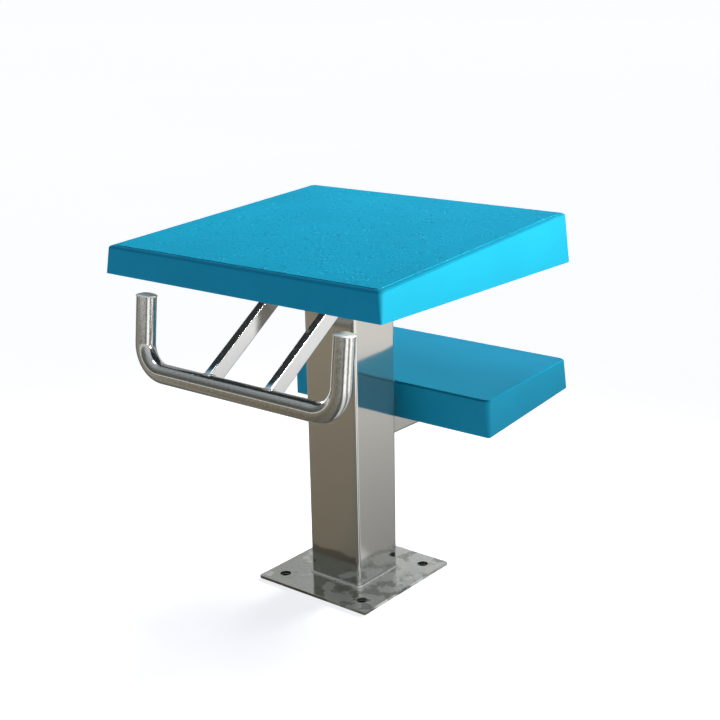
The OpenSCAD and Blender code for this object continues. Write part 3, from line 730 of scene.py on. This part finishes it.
# Painted highlight: a paler pebble tip; painted shade: a darker hollow round it, both only in patches.
tip_highlights = field_tree.span(grains, 0.20, 0.36, 1, 0)
painted_patches = field_tree.span(field_tree.noise(60, long_way, detail=6.0, rough=0.8), 0.50, 0.65, 0.03, 1.0)
hollow_shade = field_tree.math("MULTIPLY", field_tree.span(grains, 0.45, 0.70, 0, 1.0), painted_patches)
skin = tones(field_tree, field_tree.noise(7), SKIN_TINT, 0.06)
hollow_shaded = field_tree.mix(hollow_shade, skin, HOLLOW_SHADE_TINT)
tip_lit = field_tree.mix(field_tree.math("MULTIPLY", tip_highlights, painted_patches), hollow_shaded, TIP_HIGHLIGHT_TINT)
field_tree.links.new(tip_lit, field_sockets["Base Color"])
field_tree.links.new(field_tree.bump(grains, 0.12 * MM), field_sockets["Normal"])

# %% [markdown]
# Below the mouldings are plywood bearers, brass inserts for the bolts and a plastic plug in the
# arm's end. They show from below only. Plywood's thin layers are bands of two browns by height.

# %% Bearers, inserts and the arm's plug
timber_tree, timber_sockets = finish("bearer_timber", Roughness=0.75)
layers = timber_tree.math("SINE", timber_tree.part(timber_tree.place((1, 1, 2600)), "Z"))
grain = timber_tree.noise(1.0, timber_tree.place((20, 220, 220)), detail=4.0)
browns = timber_tree.span(timber_tree.math("ADD", layers, grain), -0.4, 1.4, 0, 1)
timber_tree.links.new(timber_tree.mix(browns, (0.30, 0.17, 0.08), (0.52, 0.35, 0.19)),
                      timber_sockets["Base Color"])
timber_tree.links.new(timber_tree.bump(grain, 0.2 * MM), timber_sockets["Normal"])
dress(timber_tree.owner, "platform_bearer_left", "platform_bearer_right", "platform_bearer_front",
      "platform_bearer_rear", "step_bearer_left", "step_bearer_right")
insert_brass = polished_steel("insert_brass", (0.72, 0.52, 0.22), roughness=0.3, wave=0.1 * MM,
                              lines=0.01 * MM, stretch=EVEN)
dress(insert_brass, "platform_inserts", "step_inserts")
plug_black = moulded_plastic("plug_black", (0.02, 0.02, 0.022), roughness=0.5, specular=0.4)
dress(plug_black, "step_arm_cap")

# %% [markdown]
# The platform slopes down towards the pool. Its moulding is made a little lower than the CAD's,
# and the anti-slip field stands up from it by that much, so the whole keeps the CAD's height.

# %% Platform
PLATFORM_FRONT_H, PLATFORM_BACK_H = 42 * MM, 78 * MM
PLATFORM_DRAFT, PLATFORM_CORNERS, PLATFORM_WALL = radians(3.5), (3 * MM, 9 * MM), 5 * MM
BAND, BAND_SOFTNESS = (4.5 * MM, 2.1 * MM), 1.6 * MM
FIELD_LIFT, FIELD_FRONT, FIELD_BACK, FIELD_SIDE = 0.9 * MM, 11 * MM, 13.5 * MM, 12 * MM

platform_low, platform_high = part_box("platform_shell")
platform_w, platform_d = platform_high.x - platform_low.x, platform_high.y - platform_low.y
platform_place = Matrix.Translation((0, platform_low.y, platform_low.z))
moulding("platform_moulding", (platform_w, platform_d),
         (PLATFORM_FRONT_H - FIELD_LIFT, PLATFORM_BACK_H - FIELD_LIFT), PLATFORM_DRAFT,
         PLATFORM_CORNERS, BAND, BAND_SOFTNESS, PLATFORM_WALL, platform_place,
         platform_blue, "platform_shell")
pebbled_field("platform_field", platform_w - 2 * FIELD_SIDE, platform_d - FIELD_FRONT - FIELD_BACK,
              (platform_d + FIELD_FRONT - FIELD_BACK) / 2,
              top_plane(platform_d, PLATFORM_FRONT_H, PLATFORM_BACK_H), FIELD_LIFT,
              platform_place, field_tree.owner)

# %% [markdown]
# The step is the same kind of moulding, smaller, without the pebbled field, and tilted a little
# towards the pool, so its place is a turn about the line where its rim is nearest the post.

# %% Step
STEP_NEAR_H, STEP_FAR_H = 62 * MM, 53 * MM
STEP_D, STEP_GAP, STEP_TILT = 240 * MM, 43 * MM, radians(5.3)
STEP_DRAFT, STEP_CORNERS, STEP_WALL = radians(1), (4 * MM, 10 * MM), 5 * MM
STEP_BAND, STEP_SOFTNESS = (3 * MM, 2.2 * MM), 0.9 * MM

step_low, step_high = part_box("step_shell")
step_place = (Matrix.Translation((0, post_high.y + STEP_GAP, step_low.z))
              @ Matrix.Rotation(STEP_TILT, 4, "X"))
moulding("step_moulding", (step_high.x - step_low.x, STEP_D), (STEP_NEAR_H, STEP_FAR_H),
         STEP_DRAFT, STEP_CORNERS, STEP_BAND, STEP_SOFTNESS, STEP_WALL, step_place,
         step_blue, "step_shell")

# %% [markdown]
# The grip for backstroke starts is one bent tube. A curve with a round section could draw it,
# but here the tube is bent as in the workshop: a circle at the end of one upright is extruded
# down, spun round the first bend, run along the bar, spun round the second bend and extruded up
# again. A UV map holds the way along the tube and round it, so that polishing lines can follow
# the bends.

# %% Grip
GRIP_RADIUS, BEND_RADIUS = 15 * MM, 42 * MM
GRIP_HALF, GRIP_TALL, GRIP_LEAN = 188.5 * MM, 110 * MM, radians(6.8)
GRIP_DROP = 137 * MM
INSIDE_CAD = 0.999
ROUND_STEPS, BEND_STEPS, BAR_STEPS = 48, 20, 8

bar_run = GRIP_HALF - BEND_RADIUS
grip_place = (Matrix.Translation((0, platform_low.y, platform_low.z - GRIP_DROP))
              @ Matrix.Rotation(-GRIP_LEAN, 4, "X"))


def grip_way(co):
    """Distance along the tube from the bar's middle and angle round it, on the grip's own axes."""
    side = copysign(1, co.x)
    x, z = abs(co.x), co.z
    if x <= bar_run:
        return side * x, atan2(co.y, -z)
    bend = atan2(x - bar_run, BEND_RADIUS - z)
    if z >= BEND_RADIUS:
        return side * (bar_run + BEND_RADIUS * pi / 2 + z - BEND_RADIUS), atan2(co.y, x - GRIP_HALF)
    outward = hypot(x - bar_run, BEND_RADIUS - z) - BEND_RADIUS
    return side * (bar_run + BEND_RADIUS * bend), atan2(co.y, outward)


bm = bmesh.new()
ring = bmesh.ops.create_circle(bm, radius=GRIP_RADIUS * INSIDE_CAD, segments=ROUND_STEPS,
                               matrix=Matrix.Translation((GRIP_HALF, 0, GRIP_TALL)))["verts"]
tip = list({e for v in ring for e in v.link_edges})


def open_ring(geom):
    """The open edges among things that an operator made."""
    return [g for g in geom if isinstance(g, bmesh.types.BMEdge) and g.is_boundary]


def run_on(edges, vec):
    """Extrudes an open ring of edges straight on and returns the new ring."""
    made = bmesh.ops.extrude_edge_only(bm, edges=edges)
    bmesh.ops.translate(bm, vec=vec, verts=new_points(made))
    return open_ring(made["geom"])


def bend_on(edges, centre):
    """Spins an open ring of edges a quarter turn and returns the new ring."""
    made = bmesh.ops.spin(bm, geom=edges + list({v for e in edges for v in e.verts}), cent=centre,
                          axis=(0, 1, 0), angle=pi / 2, steps=BEND_STEPS, use_duplicate=False)
    return open_ring(made["geom_last"])


tip = run_on(tip, (0, 0, BEND_RADIUS - GRIP_TALL))
tip = bend_on(tip, (bar_run, 0, BEND_RADIUS))
for _ in range(BAR_STEPS):
    tip = run_on(tip, (-2 * bar_run / BAR_STEPS, 0, 0))
tip = bend_on(tip, (-bar_run, 0, BEND_RADIUS))
run_on(tip, (0, 0, GRIP_TALL - BEND_RADIUS))
bmesh.ops.holes_fill(bm, edges=open_edges(bm), sides=0)
close_up(bm)
way = bm.loops.layers.uv.new("grip_way")
for face in bm.faces:
    first = None
    for loop in face.loops:
        along, angle = grip_way(loop.vert.co)
        first = angle if first is None else first
        angle += 2 * pi * round((first - angle) / (2 * pi))
        loop[way].uv = (along, angle * GRIP_RADIUS)
bmesh.ops.transform(bm, matrix=grip_place, verts=bm.verts)
print("Grip's tube:", len(bm.faces), "faces")

# %% [markdown]
# The tube was polished by hand after bending, so its lines run along it and its gloss is
# uneven. The streaks follow the UV map, and small specks change the roughness.

# %% Grip's finish
grip_tree, grip_sockets = finish("grip_steel", Metallic=1.0)
tube_way = grip_tree.add("ShaderNodeUVMap", uv_map="grip_way").outputs["UV"]
along_tube = grip_tree.add("ShaderNodeMapping", {"Vector": tube_way, "Scale": (160, 700, 1)}).outputs[0]
streak = grip_tree.noise(1.0, along_tube, detail=5.0, rough=0.65)
gloss = grip_tree.span(grip_tree.noise(170), 0.3, 0.7, 0.08, 0.17)
grip_tree.links.new(tones(grip_tree, streak, (0.57, 0.575, 0.565), 0.26), grip_sockets["Base Color"])
grip_tree.links.new(gloss, grip_sockets["Roughness"])
grip_tree.links.new(grip_tree.bump(streak, 0.03 * MM), grip_sockets["Normal"])
piece("grip_tube", bm, grip_tree.owner, ["handle_tube"], flat_faces=False)

# %% [markdown]
# Each upright ends in a thin domed cap, a turned part. So it is made as on a lathe: its half
# section is a short line, a rounded rim and the dome's arc, and one full spin makes the cap.

# %% End caps
CAP_RIM, CAP_DOME = 2 * MM, 3.5 * MM
CAP_RADIUS, CAP_SOFTNESS = GRIP_RADIUS + 0.8 * MM, 0.5 * MM
CAP_STEPS, DOME_STEPS = 48, 12

dome_radius = (CAP_RADIUS ** 2 + CAP_DOME ** 2) / (2 * CAP_DOME)
dome_centre = CAP_RIM + CAP_DOME - dome_radius
cap_section = [(GRIP_RADIUS * 0.9, 0.0), (CAP_RADIUS - CAP_SOFTNESS, 0.0),
               (CAP_RADIUS, CAP_SOFTNESS), (CAP_RADIUS, CAP_RIM - CAP_SOFTNESS / 2)]
for i in range(DOME_STEPS + 1):
    r = (CAP_RADIUS - CAP_SOFTNESS) * (1 - i / DOME_STEPS)
    cap_section.append((r, dome_centre + sqrt(dome_radius ** 2 - r ** 2)))
for side, label in zip(SIDES, LABELS):
    bm = bmesh.new()
    points = [bm.verts.new((r, 0, z)) for r, z in cap_section]
    line = [bm.edges.new(pair) for pair in zip(points, points[1:])]
    bmesh.ops.spin(bm, geom=points + line, cent=(0, 0, 0), axis=(0, 0, 1), angle=2 * pi, steps=CAP_STEPS,
                   use_merge=True, use_duplicate=False)
    close_up(bm)
    bmesh.ops.holes_fill(bm, edges=open_edges(bm), sides=0)
    close_up(bm)
    bmesh.ops.transform(bm, matrix=grip_place @ Matrix.Translation((side * GRIP_HALF, 0, GRIP_TALL)),
                        verts=bm.verts)
    piece(f"grip_cap_{label}", bm, satin_steel, [f"handle_cap_{label}"],
          flat_faces=False)

# %% [markdown]
# Two flat-sided tubes run from the grip's bar up to the underside of the head plate. Each is a
# cube drawn out along the strut's line, with rounded edges, and a cutting plane trims its top
# level with the plate. Its foot ends inside the grip's tube, where nothing shows.

# %% Struts
STRUT_W, STRUT_D, STRUT_CORNER = 13 * MM, 26 * MM, 2 * MM
STRUT_X, STRUT_RISE = 58.5 * MM, radians(34.7)

strut_length = 2 * GRIP_DROP / sin(STRUT_RISE)
strut_places = [Matrix.Translation((side * STRUT_X, platform_low.y, platform_low.z - GRIP_DROP))
                @ Matrix.Rotation(STRUT_RISE - pi / 2, 4, "X") for side in SIDES]
for strut_place, label in zip(strut_places, LABELS):
    bm = rounded_bar(Vector((-STRUT_W / 2, -STRUT_D / 2, 0)),
                     Vector((STRUT_W / 2, STRUT_D / 2, strut_length)), 2, STRUT_CORNER, 4)
    bmesh.ops.transform(bm, matrix=strut_place, verts=bm.verts)
    bmesh.ops.bisect_plane(bm, geom=bm.verts[:] + bm.edges[:] + bm.faces[:],
                           plane_co=(0, 0, post_high.z), plane_no=(0, 0, 1), clear_outer=True)
    bmesh.ops.holes_fill(bm, edges=open_edges(bm), sides=0)
    close_up(bm)
    piece(f"strut_bar_{label}", bm, strut_steel, [f"strut_{label}"])

# %% [markdown]
# A strut's foot stands on the bar's round back, so its weld line rises and falls like a saddle:
# on the strut's own axes the bar is a cylinder, and each point of the strut's outline is moved
# along the strut until it meets it. At the top the same outline is moved to the plate's plane.

# %% Strut welds
outline = rounded_path(STRUT_W / 2, STRUT_D / 2, STRUT_CORNER)
for strut_place, label in zip(strut_places, LABELS):
    saddle = [strut_place @ Vector((*p, sqrt(GRIP_RADIUS ** 2 - min(abs(p.y), GRIP_RADIUS) ** 2)))
              for p in outline]
    weld_bead(f"strut_foot_bead_{label}", saddle, STRUT_BEAD)
    run = strut_place.to_3x3() @ Vector((0, 0, 1))
    top = []
    for p in outline:
        start = strut_place @ Vector((*p, 0))
        top.append(start + run * ((post_high.z - STRUT_BEAD / 2 - start.z) / run.z))
    weld_bead(f"strut_head_bead_{label}", top, STRUT_BEAD)

# %% [markdown]
# A square tube reaches from the post's back under the step and carries its mount plate. It is a
# rounded box to the arm's own size, welded to the post all round.

# %% Step arm
ARM_CORNER, ARM_STAND_OFF = 4 * MM, 0.3

arm_low, arm_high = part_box("step_arm")
arm_bar = rounded_bar(arm_low, arm_high, 1, ARM_CORNER, 5)
piece("step_arm_tube", arm_bar, post_steel, ["step_arm"])
arm_off = ARM_STAND_OFF * ARM_BEAD
arm_end = Matrix.Translation((0, arm_low.y + arm_off, (arm_low.z + arm_high.z) / 2))
ring_bead("arm_bead", (arm_high.x - arm_low.x) / 2, ARM_CORNER, arm_off, ARM_BEAD,
          arm_end @ Matrix.Rotation(-pi / 2, 4, "X"), "step_arm_weld")

# %% [markdown]
# The plate's holes are meant to look dark inside. Four small near-black discs on the studio
# floor under them, which aren't part of the block, paint that shade into the holes.

# %% Painted shade under the anchor holes
hole_shade_tree, hole_shade_sockets = finish("hole_shade", Roughness=1.0)
hole_shade_tree.links.new(tones(hole_shade_tree, hole_shade_tree.noise(300), (0.015, 0.015, 0.015), 0.33, brighter=1.0),
                     hole_shade_sockets["Base Color"])
# Painted shade: one near-black disc on the floor under each hole.
for side_x in SIDES:
    for side_y in SIDES:
        hole_shade = disc(f"drilling_{side_x + 1}_{side_y + 1}", HOLE_RADIUS, FLOOR_SHEET / 4,
                        hole_shade_tree.owner)
        hole_shade.data.transform(Matrix.Translation((side_x * HOLE_OUT, side_y * HOLE_OUT, 0)))
